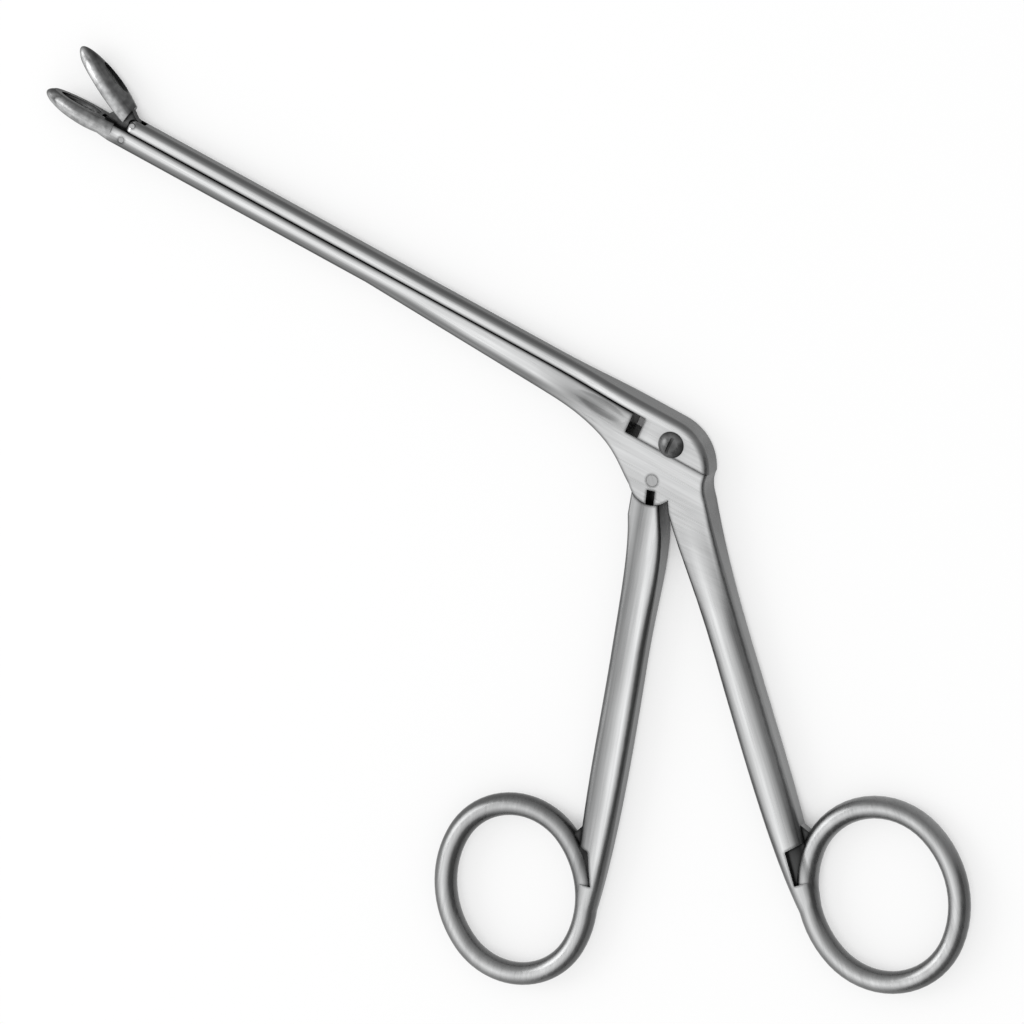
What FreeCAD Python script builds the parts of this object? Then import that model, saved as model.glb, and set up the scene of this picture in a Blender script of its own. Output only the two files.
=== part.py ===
import FreeCAD, Part
import math
import os
from FreeCAD import Vector

# Nasal forceps with a sliding upper shaft, two cup jaws and two ring handles, lying flat and open.
# The origin is on the main pivot's axis, in the plane that the body rests on. +X runs along the
# shaft to the jaws, +Y towards the finger rings, and +Z through the thickness. Lengths are in
# millimetres and angles in degrees. An outline point is given by its distance forward of the
# pivot and its rise above it, where the rise points away from the rings, along -Y.

# Body: two cheeks with a slot between them
body_thickness = 5.8
tongue_thickness = 2.0
side_clearance = 0.1
cheek_radius = 4.3
seat_rise = 5.45
window_forward = 7.75
toe_angle = -38.0
crotch_angle = 60.5
body_edge_round = 0.6
split_round = 0.35

# Sweep of the body's front edge, from the shaft down to the toe of the cheeks
taper_forward = 60.0
throat_forward = 22.0
throat_rise = 4.15
throat_pull = 13.7
toe_pull = 5.9
toe_slope = 32.0

# Shallow hollow ground in both sides of the body, under the slide's flare
hollow_forward = 13.0
hollow_rise = 7.25
hollow_half_thickness = 2.6
hollow_depth = 0.35
hollow_slope = 5.5
hollow_length_radius = 60.0
hollow_width_radius = 3.2

# Rear edge of the body
heel_forward = -8.3
heel_pull = 1.3

# Relief notch in the lower edge of the cheeks
notch_width = 1.5
notch_top_radius = 1.75
notch_angle = 17.5

# Shaft: the lower bar is fixed and the slide runs on its flat back
shaft_width = 3.5
split_rise = 9.1
lower_bar_depth = 3.1
slide_height = 2.3
slide_clearance = 0.05
slide_round = 1.2
flare_rear = 6.0
flare_front = 25.0

# Driving block at the rear of the slide
block_front = 5.35
block_arc_radius = 9.0
block_arc_forward = 0.0

# Guides that hold the slide down on the lower bar
guide_positions = (38.0, 95.0)
guide_length = 5.0
guide_neck_width = 0.9
guide_neck_depth = 0.5
guide_head_width = 1.9
guide_head_depth = 0.55
guide_clearance = 0.08

# Jaw linkage
hinge_forward = 109.2
hinge_rise = 7.45
hinge_pin_radius = 0.5
link_arm = 3.2
link_pin_radius = 0.45
jaw_opening = 29.0
fork_slot = 1.5
tang_thickness = 1.3
hinge_eye_radius = 1.15
link_eye_radius = 0.95
slide_nose = 1.1
nose_corner = 0.9
fork_rear = 1.75
heel_length = 4.8
heel_height = -0.55
heel_start = 0.3
heel_drop = 1.1
fork_front_clearance = 0.3
slide_fork_rear = 1.8
neck_length = 3.4

# Cup jaws
jaw_length = 15.8
bite_rise = 9.3
bite_gap = 0.05
cup_axis_drop = 1.15
cup_radius = 2.4
cup_rear_radius = 1.9
cup_rear = 2.3
cup_widest = 7.6
cup_wall = 0.65
cup_floor_start = 5.6
cup_swell_pull = 0.35
cup_nose_pull = 0.46
nose_pull = 1.3
upper_overhang = 1.1
cup_back_inset = 0.1
cup_back_lean = 0.3
cup_nose_wall = 1.5
window_length = 6.6
window_width = 2.3
window_centre = 9.2

# Drive: screw through the block, in a slot at the top of the front handle's lever
drive_rise = 7.4
drive_setback = 0.5
drive_pin_radius = 1.1
drive_head_radius = 2.3
drive_head_height = 1.25
drive_recess = 0.3
driver_slot_width = 0.55
driver_slot_depth = 0.5
lever_tip_radius = 1.95
lever_root_half_width = 2.9

# Main pivot
pivot_radius = 1.0

# Handles: straight shanks that run into oval finger rings
front_lean = 13.75
rear_lean = 41.4
ring_station = 79.0
wire_diameter = 3.9
shank_thickness = 4.7
shank_round = 1.3
shank_end_inset = 0.3
shank_end_round = 1.7
front_shank_width = 5.95
front_shank_offset = 0.58
rear_shank_width = 6.4
rear_shank_offset = 4.25
blend_station = 5.0
blend_offset_share = 0.25
blend_width_share = 0.45
blend_swell = 0.25
blend_step = 0.4
blend_round = 0.75
settle_station = 14.0
settle_swell = 0.15
settle_step = 0.2
straight_station = 30.0
taper_station = 20.0
taper_cut = 0.1
narrow_station = 10.0
narrow_cut = 0.75
narrow_step = 0.2
narrow_round = 0.3
front_root_station = 7.0
rear_root_station = 6.0
front_root_width = 5.9
front_root_offset = -0.45
rear_root_width = 7.35
rear_root_offset = 4.63
shoulder_rear_offset = 1.8
front_ring_long = 14.9
front_ring_short = 12.8
front_ring_tilt = 13.0
rear_ring_long = 15.35
rear_ring_short = 13.7
rear_ring_tilt = -5.7
braze_top = 16.5
braze_outer = 11.5
braze_bottom = 7.0
braze_spread = 0.85
braze_thickness = 1.8
pocket_top = 12.7
pocket_bend = 11.6
pocket_tip = 5.5
pocket_side = 1.3
pocket_tip_side = -0.25
front_pocket_side = 0.25
rear_pocket_side = -0.2
pocket_web = 2.8

# Running clearances
pin_clearance = 0.03
seat_clearance = 0.01
slot_clearance = 0.06
swing_clearance = 0.15
slot_front_margin = 5.0
slot_rear_margin = 3.0
screw_end_gap = 0.2
web_inset = 0.4
web_overlap = 1.0
neck_flat = 0.1
through = 1.0

# Worked out from the values above
mid_plane = body_thickness / 2
slot_width = tongue_thickness + 2 * side_clearance
slide_top_rise = split_rise + slide_clearance + slide_height
lower_bar_rise = split_rise - lower_bar_depth
half_opening = math.radians(jaw_opening / 2)
slide_travel = 2 * link_arm * math.tan(half_opening)
link_setback = link_arm * math.tan(half_opening)
drive_start = math.degrees(math.atan2(drive_setback, drive_rise))
drive_end = math.degrees(math.atan2(slide_travel - drive_setback, drive_rise))
handle_swing = drive_start + drive_end
shoulder_radius = cheek_radius + side_clearance
tongue_radius = cheek_radius - 2 * side_clearance
lever_taper = (lever_root_half_width - lever_tip_radius) / drive_rise
lever_seat_half = lever_root_half_width - lever_taper * seat_rise
slide_front = hinge_forward - link_setback + slide_nose
fork_front = heel_length + fork_front_clearance
nose_tip = hinge_forward + jaw_length
Z_AXIS = Vector(0, 0, 1)


def at(forward, rise, height=0.0):
    """Point at a distance forward of the pivot, a rise above it and a height off the table."""
    return Vector(forward, -rise, height)


def around_pivot(radius, angle):
    """Forward and rise of a point below the pivot; the angle turns from straight down to the rear."""
    turn = math.radians(angle)
    return -radius * math.sin(turn), -radius * math.cos(turn)


def beside_shank(lean, station, offset):
    """Forward and rise of a point at a station down a leaning shank, offset towards the rear."""
    turn = math.radians(lean)
    forward = -station * math.sin(turn) - offset * math.cos(turn)
    rise = -station * math.cos(turn) + offset * math.sin(turn)
    return forward, rise


def line(start, end):
    """Straight edge."""
    return Part.makeLine(start, end)


def arc(start, via, end):
    """Arc edge through three points."""
    return Part.Arc(start, via, end).toShape()


def bezier(*poles):
    """Cubic edge from its poles."""
    curve = Part.BezierCurve()
    curve.setPoles(list(poles))
    return curve.toShape()


def polygon(points, height):
    """Closed wire through forward and rise pairs at one height."""
    corners = [at(forward, rise, height) for forward, rise in points]
    corners.append(corners[0])
    return Part.makePolygon(corners)


def slab(wire, thickness):
    """Solid plate raised from a closed wire along +Z."""
    return Part.Face(wire).extrude(Vector(0, 0, thickness))


def centred_height(thickness):
    """Lowest height of a piece of this thickness centred on the mid-plane."""
    return mid_plane - thickness / 2


def pin(forward, rise, radius, low, high):
    """Cylinder across the thickness between two heights."""
    return Part.makeCylinder(radius, high - low, at(forward, rise, low), Z_AXIS)


def through_hole(forward, rise, radius):
    """Cylinder to cut a hole right through the thickness."""
    return pin(forward, rise, radius, -through, body_thickness + through)


def bar(forward_low, forward_high, rise_low, rise_high, width):
    """Rectangular block centred on the mid-plane."""
    corners = [(forward_low, rise_low), (forward_high, rise_low)]
    corners += [(forward_high, rise_high), (forward_low, rise_high)]
    return slab(polygon(corners, centred_height(width)), width)


def long_hole(centre, direction, radius, reach):
    """Slot with round ends right through; reach is from its centre to each end's centre."""
    forward, rise = centre
    low, high = -through, body_thickness + through
    along = (direction[0] * reach, direction[1] * reach)
    side = (-direction[1] * radius, direction[0] * radius)
    ends = [(forward - along[0], rise - along[1]), (forward + along[0], rise + along[1])]
    corners = [(ends[0][0] - side[0], ends[0][1] - side[1]), (ends[1][0] - side[0], ends[1][1] - side[1])]
    corners += [(ends[1][0] + side[0], ends[1][1] + side[1]), (ends[0][0] + side[0], ends[0][1] + side[1])]
    middle = slab(polygon(corners, low), high - low)
    caps = [through_hole(end[0], end[1], radius) for end in ends]
    return middle.fuse(caps).removeSplitter()


def join(solid, others):
    """Fuse pieces to a solid, one after another."""
    for other in others:
        solid = solid.fuse(other)
    return solid


def carve(solid, holes):
    """Cut holes from a solid, one after another."""
    for hole in holes:
        solid = solid.cut(hole)
    return solid


def save(node, shape):
    """Write one piece to its own file."""
    shape.Solids[0].exportStep(os.path.join("parts", node + ".step"))


def flare_plan():
    """Plan of the shaft and body: narrow bar, S-shaped flare, full body thickness."""
    narrow = shaft_width / 2
    wide = body_thickness / 2
    step = wide - narrow
    run = flare_front - flare_rear
    radius = (run ** 2 + step ** 2) / (4 * step)
    dip = radius - math.sqrt(radius ** 2 - (run / 4) ** 2)
    middle = (flare_rear + flare_front) / 2
    far_rear = -body_thickness * 4
    far_front = nose_tip
    edges = []
    for side in (1, -1):
        def spot(forward, across):
            return Vector(forward, 0, mid_plane + side * across)
        path = [line(spot(far_rear, wide), spot(flare_rear, wide))]
        path.append(arc(spot(flare_rear, wide), spot(flare_rear + run / 4, wide - dip),
                        spot(middle, (wide + narrow) / 2)))
        path.append(arc(spot(middle, (wide + narrow) / 2), spot(flare_front - run / 4, narrow + dip),
                        spot(flare_front, narrow)))
        path.append(line(spot(flare_front, narrow), spot(far_front, narrow)))
        edges.extend(path)
    edges.append(line(Vector(far_rear, 0, mid_plane + wide), Vector(far_rear, 0, mid_plane - wide)))
    edges.append(line(Vector(far_front, 0, mid_plane + narrow), Vector(far_front, 0, mid_plane - narrow)))
    wire = Part.Wire(Part.__sortEdges__(edges))
    plan = Part.Face(wire).extrude(Vector(0, 6 * cheek_radius, 0))
    plan.translate(Vector(0, -3 * cheek_radius, 0))
    return plan


def rounded_rectangle(centre, across, width, thickness, corner):
    """Closed wire of a rounded rectangle, its width along a unit vector and its thickness along Z."""
    half_width = width / 2
    half_thickness = thickness / 2
    bend = corner * (1 - math.sqrt(0.5))

    def spot(u, v):
        return centre + across * u + Z_AXIS * v
    edges = []
    quarter = [(1, 1), (-1, 1), (-1, -1), (1, -1)]
    for index, (u_sign, v_sign) in enumerate(quarter):
        ends = [spot(u_sign * half_width, v_sign * (half_thickness - corner)),
                spot(u_sign * (half_width - corner), v_sign * half_thickness)]
        if u_sign * v_sign < 0:
            ends.reverse()
        via = spot(u_sign * (half_width - bend), v_sign * (half_thickness - bend))
        edges.append(arc(ends[0], via, ends[1]))
        after = quarter[(index + 1) % 4]
        if u_sign * v_sign > 0:
            edges.append(line(ends[1], spot(after[0] * (half_width - corner), v_sign * half_thickness)))
        else:
            edges.append(line(ends[1], spot(u_sign * half_width, after[1] * (half_thickness - corner))))
    return Part.Wire(edges)


def shank_section(lean, station, offset, width, thickness, corner):
    """Section of a shank, square to its length."""
    turn = math.radians(lean)
    across = Vector(-math.cos(turn), -math.sin(turn), 0)
    forward, rise = beside_shank(lean, station, offset)
    return rounded_rectangle(at(forward, rise, mid_plane), across, width, thickness, corner)


def root_outline(solid, lean, station):
    """Outline of the flat face that a shank grows from, square to the shank at a station."""
    turn = math.radians(lean)
    for face in solid.Faces:
        spot = face.CenterOfMass
        if abs(spot.y * math.cos(turn) - spot.x * math.sin(turn) - station) < 0.001:
            return face.OuterWire


def shank(solid, lean, root, offset, width):
    """Shank lofted from a solid's root face to the ring wire; root holds its station, offset and width."""
    root_station, root_offset, root_width = root
    blend_offset = offset + (root_offset - offset) * blend_offset_share
    blend_width = width + (root_width - width) * blend_width_share + blend_swell
    end_width = wire_diameter - shank_end_inset
    rows = [
        (root_station + blend_station, blend_offset, blend_width, body_thickness - blend_step, blend_round),
        (root_station + settle_station, offset, width + settle_swell, shank_thickness + settle_step,
         shank_round - settle_step),
        (root_station + straight_station, offset, width, shank_thickness, shank_round),
        (ring_station - taper_station, offset, width - taper_cut, shank_thickness, shank_round),
        (ring_station - narrow_station, offset, width - narrow_cut, shank_thickness - narrow_step,
         shank_round + narrow_round),
        (ring_station, offset, end_width, end_width, shank_end_round),
    ]
    sections = [root_outline(solid, lean, root_station)]
    sections += [shank_section(lean, *row) for row in rows]
    return Part.makeLoft(sections, True, False)


def oval_ring(lean, offset, long_half, short_half, tilt, side):
    """Finger ring of round wire on a four-arc oval that the shank runs into without a corner.

    side is 1 for a ring behind its shank and -1 for a ring in front of it."""
    end_radius = (short_half ** 2 / long_half + short_half) / 2
    end_shift = long_half - end_radius
    side_radius = (end_shift ** 2 + short_half ** 2 - end_radius ** 2) / (2 * (short_half - end_radius))
    side_shift = side_radius - short_half
    half_angle = math.degrees(math.atan2(end_shift, side_shift))

    def outward(angle):
        turn = math.radians(angle)
        return Vector(-math.cos(turn), -math.sin(turn), 0) * -side
    touch = at(*beside_shank(lean, ring_station, offset), mid_plane)
    near_centre = touch - outward(lean) * side_radius
    to_shank = outward(lean + tilt)
    centre = near_centre + to_shank * side_shift
    along = Z_AXIS.cross(to_shank)
    arcs = [(near_centre, side_radius, to_shank, half_angle)]
    arcs.append((centre + along * end_shift, end_radius, along, 90 - half_angle))
    arcs.append((centre + to_shank * side_shift, side_radius, to_shank * -1, half_angle))
    arcs.append((centre - along * end_shift, end_radius, along * -1, 90 - half_angle))
    pieces = []
    for arc_centre, radius, middle, spread in arcs:
        start = FreeCAD.Rotation(Z_AXIS, -spread).multVec(middle)
        circle = Part.makeCircle(wire_diameter / 2, arc_centre + start * radius, Z_AXIS.cross(start))
        section = Part.Face(Part.Wire(circle))
        pieces.append(section.revolve(arc_centre, Z_AXIS, 2 * spread))
    return pieces, centre


def braze_web(lean, offset, width, side):
    """Thin fillet of braze in the crotch between the shank and the start of its ring."""
    inside = offset + side * width / 3
    outside = offset + side * (width / 2 + wire_diameter) * braze_spread
    corners = [beside_shank(lean, ring_station - braze_top, inside)]
    corners.append(beside_shank(lean, ring_station - braze_outer, outside))
    corners.append(beside_shank(lean, ring_station - braze_bottom, inside))
    return slab(polygon(corners, centred_height(braze_thickness)), braze_thickness)


def crotch_pockets(lean, offset, width, side, bend_side):
    """Two shallow pockets, one in each face of a shank, along the edge of the ring that joins it."""
    spots = ((pocket_top, pocket_side), (pocket_bend, bend_side), (pocket_tip, pocket_tip_side),
             (pocket_tip, pocket_side))
    corners = [beside_shank(lean, ring_station - before, offset + side * share * width / 2)
               for before, share in spots]
    depth = body_thickness / 2 - pocket_web / 2
    return [slab(polygon(corners, 0), depth), slab(polygon(corners, body_thickness - depth), depth)]


def body_outline():
    """Side outline of the lower bar and the body, as a closed wire."""
    toe = around_pivot(cheek_radius, toe_angle)
    crotch = around_pivot(cheek_radius, crotch_angle)
    lowest = around_pivot(cheek_radius, (toe_angle + crotch_angle) / 2)
    half_root = rear_root_width / 2
    root_front = beside_shank(rear_lean, rear_root_station, rear_root_offset - half_root)
    root_rear = beside_shank(rear_lean, rear_root_station, rear_root_offset + half_root)
    root_pull = beside_shank(rear_lean, rear_root_station - 2 * heel_pull, rear_root_offset + half_root)
    slope = (lower_bar_rise - throat_rise) / (taper_forward - throat_forward)
    throat_lead = (throat_forward - throat_pull, throat_rise - throat_pull * slope)
    toe_turn = math.radians(toe_slope)
    toe_lead = (toe[0] + toe_pull * math.cos(toe_turn), toe[1] + toe_pull * math.sin(toe_turn))
    front = hinge_forward + cup_rear
    edges = [
        line(at(front, split_rise), at(window_forward, split_rise)),
        line(at(window_forward, split_rise), at(window_forward, seat_rise)),
        line(at(window_forward, seat_rise), at(heel_forward, seat_rise)),
        bezier(at(heel_forward, seat_rise), at(heel_forward, seat_rise - heel_pull),
               at(*root_pull), at(*root_rear)),
        line(at(*root_rear), at(*root_front)),
        line(at(*root_front), at(*crotch)),
        arc(at(*crotch), at(*lowest), at(*toe)),
        bezier(at(*toe), at(*toe_lead), at(*throat_lead), at(throat_forward, throat_rise)),
        line(at(throat_forward, throat_rise), at(taper_forward, lower_bar_rise)),
        line(at(taper_forward, lower_bar_rise), at(front, lower_bar_rise)),
        line(at(front, lower_bar_rise), at(front, split_rise)),
    ]
    return Part.Wire(edges)


def cup_solid(axis_rise, radius, rear, rear_radius, tip):
    """Turned cup about a line along the shaft: rear disc, swell to the widest place, slender nose."""
    def spot(forward, out):
        return at(hinge_forward + forward, axis_rise + out, mid_plane)
    swell = (cup_widest - rear) * cup_swell_pull
    nose = (tip - cup_widest) * cup_nose_pull
    edges = [
        line(spot(rear, 0), spot(rear, rear_radius)),
        bezier(spot(rear, rear_radius), spot(rear + swell, (rear_radius + radius) / 2),
               spot(cup_widest - swell, radius), spot(cup_widest, radius)),
        bezier(spot(cup_widest, radius), spot(cup_widest + nose, radius), spot(tip, nose_pull),
               spot(tip, 0)),
        line(spot(tip, 0), spot(rear, 0)),
    ]
    return Part.Face(Part.Wire(edges)).revolve(spot(rear, 0), Vector(1, 0, 0), 360)


def outer_cup(axis_rise, length):
    """Cup before it is split and hollowed; its length is from the hinge to its tip."""
    return cup_solid(axis_rise, cup_radius, cup_rear, cup_rear_radius, length)


def cup_hollow(axis_rise, length):
    """Inside of a cup."""
    tip = length - cup_nose_wall * cup_wall
    return cup_solid(axis_rise, cup_radius - cup_wall, cup_floor_start, cup_rear_radius - cup_wall, tip)


def cup_window(axis_rise, back):
    """Oval hole in the back of a cup; back is 1 above the bite and -1 below it."""
    centre = at(hinge_forward + window_centre, axis_rise, mid_plane)
    long_end = centre + Vector(window_length / 2, 0, 0)
    short_end = centre + Z_AXIS * (window_width / 2)
    oval = Part.Ellipse(long_end, short_end, centre)
    return Part.Face(Part.Wire(oval.toShape())).extrude(Vector(0, -back * 2 * cup_radius, 0))


def lower_guide(forward):
    """Undercut slot in the lower bar for one guide of the slide, with its entry pocket behind."""
    gap = guide_clearance
    front = forward + guide_length + slide_travel + 2 * gap
    pocket = forward - guide_length - 4 * gap
    under = split_rise - guide_neck_depth + gap
    floor = split_rise - guide_neck_depth - guide_head_depth - 2 * gap
    neck = bar(forward - gap, front, under, split_rise + gap, guide_neck_width + 2 * gap)
    head = bar(forward - gap, front, floor, under, guide_head_width + 2 * gap)
    entry = bar(pocket, forward - gap, floor, split_rise + gap, guide_head_width + 2 * gap)
    return neck.fuse([head, entry]).removeSplitter()


def slide_guide(forward):
    """Tee-shaped guide under the slide."""
    under = split_rise - guide_neck_depth
    end = forward + guide_length
    neck = bar(forward, end, under, split_rise + slide_clearance, guide_neck_width)
    head = bar(forward, end, under - guide_head_depth, under, guide_head_width)
    return neck.fuse(head).removeSplitter()


def cheek_slot():
    """Space between the cheeks that the front handle's tongue and lever move in."""
    low = centred_height(slot_width)
    disc = pin(0, 0, tongue_radius + swing_clearance, low, low + slot_width)
    reach = cheek_radius + 6 * swing_clearance
    first = front_lean - math.degrees(math.asin(lever_root_half_width / tongue_radius)) - slot_front_margin
    last = math.degrees(math.asin(shoulder_rear_offset / tongue_radius)) + slot_rear_margin
    last += front_lean + handle_swing
    rim = [at(*around_pivot(reach, angle), low) for angle in (first, (first + last) / 2, last)]
    start = at(0, 0, low)
    sector = slab(Part.Wire([line(start, rim[0]), arc(*rim), line(rim[2], start)]), slot_width)
    lever_rear = -drive_setback - lever_seat_half - swing_clearance
    lever_front = (slide_travel - drive_setback) * seat_rise / drive_rise + lever_seat_half + swing_clearance
    throat = bar(lever_rear, lever_front, 0, seat_rise + side_clearance, slot_width)
    return disc.fuse([sector, throat]).removeSplitter()


def cheek_notch():
    """Relief notch that runs up from the lower edge of both cheeks."""
    turn = math.radians(notch_angle)
    half = notch_width / 2
    corners = []
    for radius, across in ((notch_top_radius, -half), (notch_top_radius, half),
                           (2 * cheek_radius, half), (2 * cheek_radius, -half)):
        forward = -radius * math.sin(turn) - across * math.cos(turn)
        rise = -radius * math.cos(turn) + across * math.sin(turn)
        corners.append((forward, rise))
    limit = pin(0, 0, cheek_radius + side_clearance / 2, 0, body_thickness)
    return slab(polygon(corners, 0), body_thickness).common(limit)


def keep_sharp(spot):
    """True for a place on the body's working faces, its root cut or its front end."""
    forward, rise = spot.x, -spot.y
    turn = math.radians(rear_lean)
    station = -forward * math.sin(turn) - rise * math.cos(turn)
    near = 0.01
    on_split = rise > split_rise - near
    on_seat = rise > seat_rise - near and forward < window_forward + near
    on_cheek = math.hypot(forward, rise) < cheek_radius + near
    on_root = station > rear_root_station - near
    on_front = forward > hinge_forward + cup_rear - near
    return on_split or on_seat or on_cheek or on_root or on_front


def side_hollows():
    """Long dishes to cut from both sides of the body, each the outer skin of a large ring."""
    turn = math.radians(hollow_slope)
    dishes = []
    for side in (1, -1):
        away = Vector(math.sin(turn), 0, side * math.cos(turn))
        deepest = at(hollow_forward, hollow_rise, mid_plane + side * (hollow_half_thickness - hollow_depth))
        centre = deepest + away * hollow_length_radius
        dishes.append(Part.makeTorus(hollow_length_radius - hollow_width_radius, hollow_width_radius,
                                     centre, Vector(0, 1, 0)))
    return dishes


def edges_along(solid, rise, forward_low, forward_high):
    """Edges of the two sides that run along the shaft at one rise, between two distances forward."""
    found = []
    for edge in solid.Edges:
        start, end = edge.valueAt(edge.FirstParameter), edge.valueAt(edge.LastParameter)
        level = abs(start.y + rise) < 0.01 and abs(end.y + rise) < 0.01
        lengthwise = abs(start.x - end.x) > abs(start.z - end.z)
        if level and lengthwise and forward_low < (start.x + end.x) / 2 < forward_high:
            found.append(edge)
    return found


def rounded_body():
    """Lower bar and body with their outer edges rounded."""
    blank = slab(body_outline(), body_thickness).common(flare_plan())
    outer = []
    for edge in blank.Edges:
        middle = edge.valueAt((edge.FirstParameter + edge.LastParameter) / 2)
        across = abs(edge.tangentAt(edge.FirstParameter).z) > 0.9
        if not across and not keep_sharp(middle):
            outer.append(edge)
    rounded = blank.makeFillet(body_edge_round, outer)
    split = edges_along(rounded, split_rise, window_forward, nose_tip)
    return carve(rounded.makeFillet(split_round, split), side_hollows())


def fixed_cup():
    """Cup jaw below the bite plane, with the neck that carries it on the lower bar."""
    axis_rise = bite_rise - cup_axis_drop
    cup = outer_cup(axis_rise, jaw_length)
    start = at(hinge_forward + cup_rear, (split_rise + lower_bar_rise) / 2, mid_plane)
    end = at(hinge_forward + cup_rear + neck_length, axis_rise, mid_plane)
    upright = Vector(0, 1, 0)
    end_width = 2 * cup_radius - cup_wall
    sections = [
        rounded_rectangle(start, upright, lower_bar_depth, shaft_width, body_edge_round),
        rounded_rectangle(end, upright, end_width, end_width, end_width / 2 - neck_flat),
    ]
    neck = Part.makeLoft(sections, True, True)
    over_bite = bar(hinge_forward - jaw_length, nose_tip + through, bite_rise, bite_rise + 4 * cup_radius,
                    4 * cup_radius)
    over_split = bar(hinge_forward - jaw_length, hinge_forward + cup_rear, split_rise,
                     bite_rise + cup_radius, 4 * cup_radius)
    solid = cup.fuse(neck)
    hollow = cup_hollow(axis_rise, jaw_length)
    return carve(solid, [over_bite, over_split, hollow, cup_window(axis_rise, -1)])


def fixed_shaft():
    """Lower bar with its cup jaw, the cheeked body, the rear shank and its ring, as one forging."""
    root = (rear_root_station, rear_root_offset, rear_root_width)
    ring, _ = oval_ring(rear_lean, rear_shank_offset, rear_ring_long, rear_ring_short, rear_ring_tilt, 1)
    body = rounded_body()
    rear_shank = shank(body, rear_lean, root, rear_shank_offset, rear_shank_width)
    pockets = crotch_pockets(rear_lean, rear_shank_offset, rear_shank_width, 1, rear_pocket_side)
    parts = [carve(rear_shank, pockets), fixed_cup()]
    parts.append(braze_web(rear_lean, rear_shank_offset, rear_shank_width, 1))
    solid = join(body, parts + [join(ring[0], ring[1:])])
    holes = [
        cheek_slot(),
        cheek_notch(),
        through_hole(0, 0, pivot_radius + seat_clearance),
        through_hole(hinge_forward, hinge_rise, hinge_pin_radius + seat_clearance),
        bar(hinge_forward - fork_rear, hinge_forward + fork_front, 0, bite_rise + through, fork_slot),
    ]
    holes += [lower_guide(forward) for forward in guide_positions]
    return carve(solid, holes)


def slide_outline():
    """Side outline of the slide: long bar, step down at the block, rounded back."""
    low = split_rise + slide_clearance
    seat = seat_rise + slide_clearance
    centre_rise = slide_top_rise - block_arc_radius
    drop = math.asin((centre_rise - seat) / block_arc_radius)
    end_turn = math.pi + drop
    middle_turn = (math.pi / 2 + end_turn) / 2

    def on_arc(turn):
        return (block_arc_forward + block_arc_radius * math.cos(turn),
                centre_rise + block_arc_radius * math.sin(turn))
    nose_turn = nose_corner * (1 - math.sqrt(0.5))
    edges = [
        line(at(block_arc_forward, slide_top_rise), at(slide_front - nose_corner, slide_top_rise)),
        arc(at(slide_front - nose_corner, slide_top_rise),
            at(slide_front - nose_turn, slide_top_rise - nose_turn),
            at(slide_front, slide_top_rise - nose_corner)),
        line(at(slide_front, slide_top_rise - nose_corner), at(slide_front, low)),
        line(at(slide_front, low), at(block_front, low)),
        line(at(block_front, low), at(block_front, seat)),
        line(at(block_front, seat), at(*on_arc(end_turn), 0)),
        arc(at(*on_arc(end_turn), 0), at(*on_arc(middle_turn), 0), at(block_arc_forward, slide_top_rise)),
    ]
    return Part.Wire(edges)


def slide_bar():
    """Upper bar that slides on the fixed shaft, with its driving block and the fork for the jaw."""
    blank = slab(slide_outline(), body_thickness).common(flare_plan())
    top = []
    for edge in blank.Edges:
        middle = edge.valueAt((edge.FirstParameter + edge.LastParameter) / 2)
        across = abs(edge.tangentAt(edge.FirstParameter).z) > 0.9
        round_back = middle.x < block_arc_forward and -middle.y > seat_rise + 2 * slide_clearance
        along_top = -middle.y > slide_top_rise - nose_corner - 0.01
        if not across and (round_back or along_top):
            top.append(edge)
    solid = blank.makeFillet(slide_round, top)
    under = edges_along(solid, split_rise + slide_clearance, block_front, slide_front)
    solid = solid.makeFillet(split_round, under)
    solid = join(solid, [slide_guide(forward) for forward in guide_positions])
    slip = slide_travel * (1 - seat_rise / drive_rise)
    lever_front = lever_seat_half - drive_setback * seat_rise / drive_rise + swing_clearance
    lever_rear = -drive_setback - lever_seat_half - slip - swing_clearance
    pocket_top = drive_rise + lever_tip_radius + 2 * swing_clearance
    pocket = bar(lever_rear, lever_front, 0, pocket_top, slot_width)
    link_forward = hinge_forward - link_setback
    link_rise = hinge_rise + link_arm
    holes = [
        pocket,
        pin(-drive_setback, drive_rise, drive_pin_radius + seat_clearance, drive_recess - screw_end_gap,
            body_thickness + through),
        bar(link_forward - slide_fork_rear, nose_tip, 0, slide_top_rise + through, fork_slot),
        through_hole(link_forward, link_rise, link_pin_radius + seat_clearance),
    ]
    return carve(solid, holes)


def jaw_tang():
    """Flat tang of the moving jaw, in its closed place, from the hinge eye to the cup."""
    low = centred_height(tang_thickness)
    link = (hinge_forward + link_setback, hinge_rise + link_arm)
    bite = bite_rise + bite_gap
    eyes = [pin(hinge_forward, hinge_rise, hinge_eye_radius, low, low + tang_thickness)]
    eyes.append(pin(link[0], link[1], link_eye_radius, low, low + tang_thickness))
    lean = math.atan2(link[0] - hinge_forward, link[1] - hinge_rise)
    sides = []
    for spot, radius in (((hinge_forward, hinge_rise), hinge_eye_radius), (link, link_eye_radius)):
        sides.append((spot[0] - radius * math.cos(lean), spot[1] + radius * math.sin(lean)))
        sides.append((spot[0] + radius * math.cos(lean), spot[1] - radius * math.sin(lean)))
    arm = slab(polygon([sides[0], sides[1], sides[3], sides[2]], low), tang_thickness)
    root = [
        (hinge_forward + heel_start, hinge_rise - heel_drop),
        (hinge_forward + heel_length, hinge_rise + heel_height),
        (hinge_forward + heel_length, bite),
        (hinge_forward + cup_floor_start, bite),
        (hinge_forward + cup_floor_start, bite_rise + cup_axis_drop + cup_rear_radius),
        (link[0] + link_eye_radius / 2, link[1] + link_eye_radius * math.sqrt(3) / 2),
        link,
    ]
    return join(eyes[0], [eyes[1], arm, slab(polygon(root, low), tang_thickness)]).removeSplitter()


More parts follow.
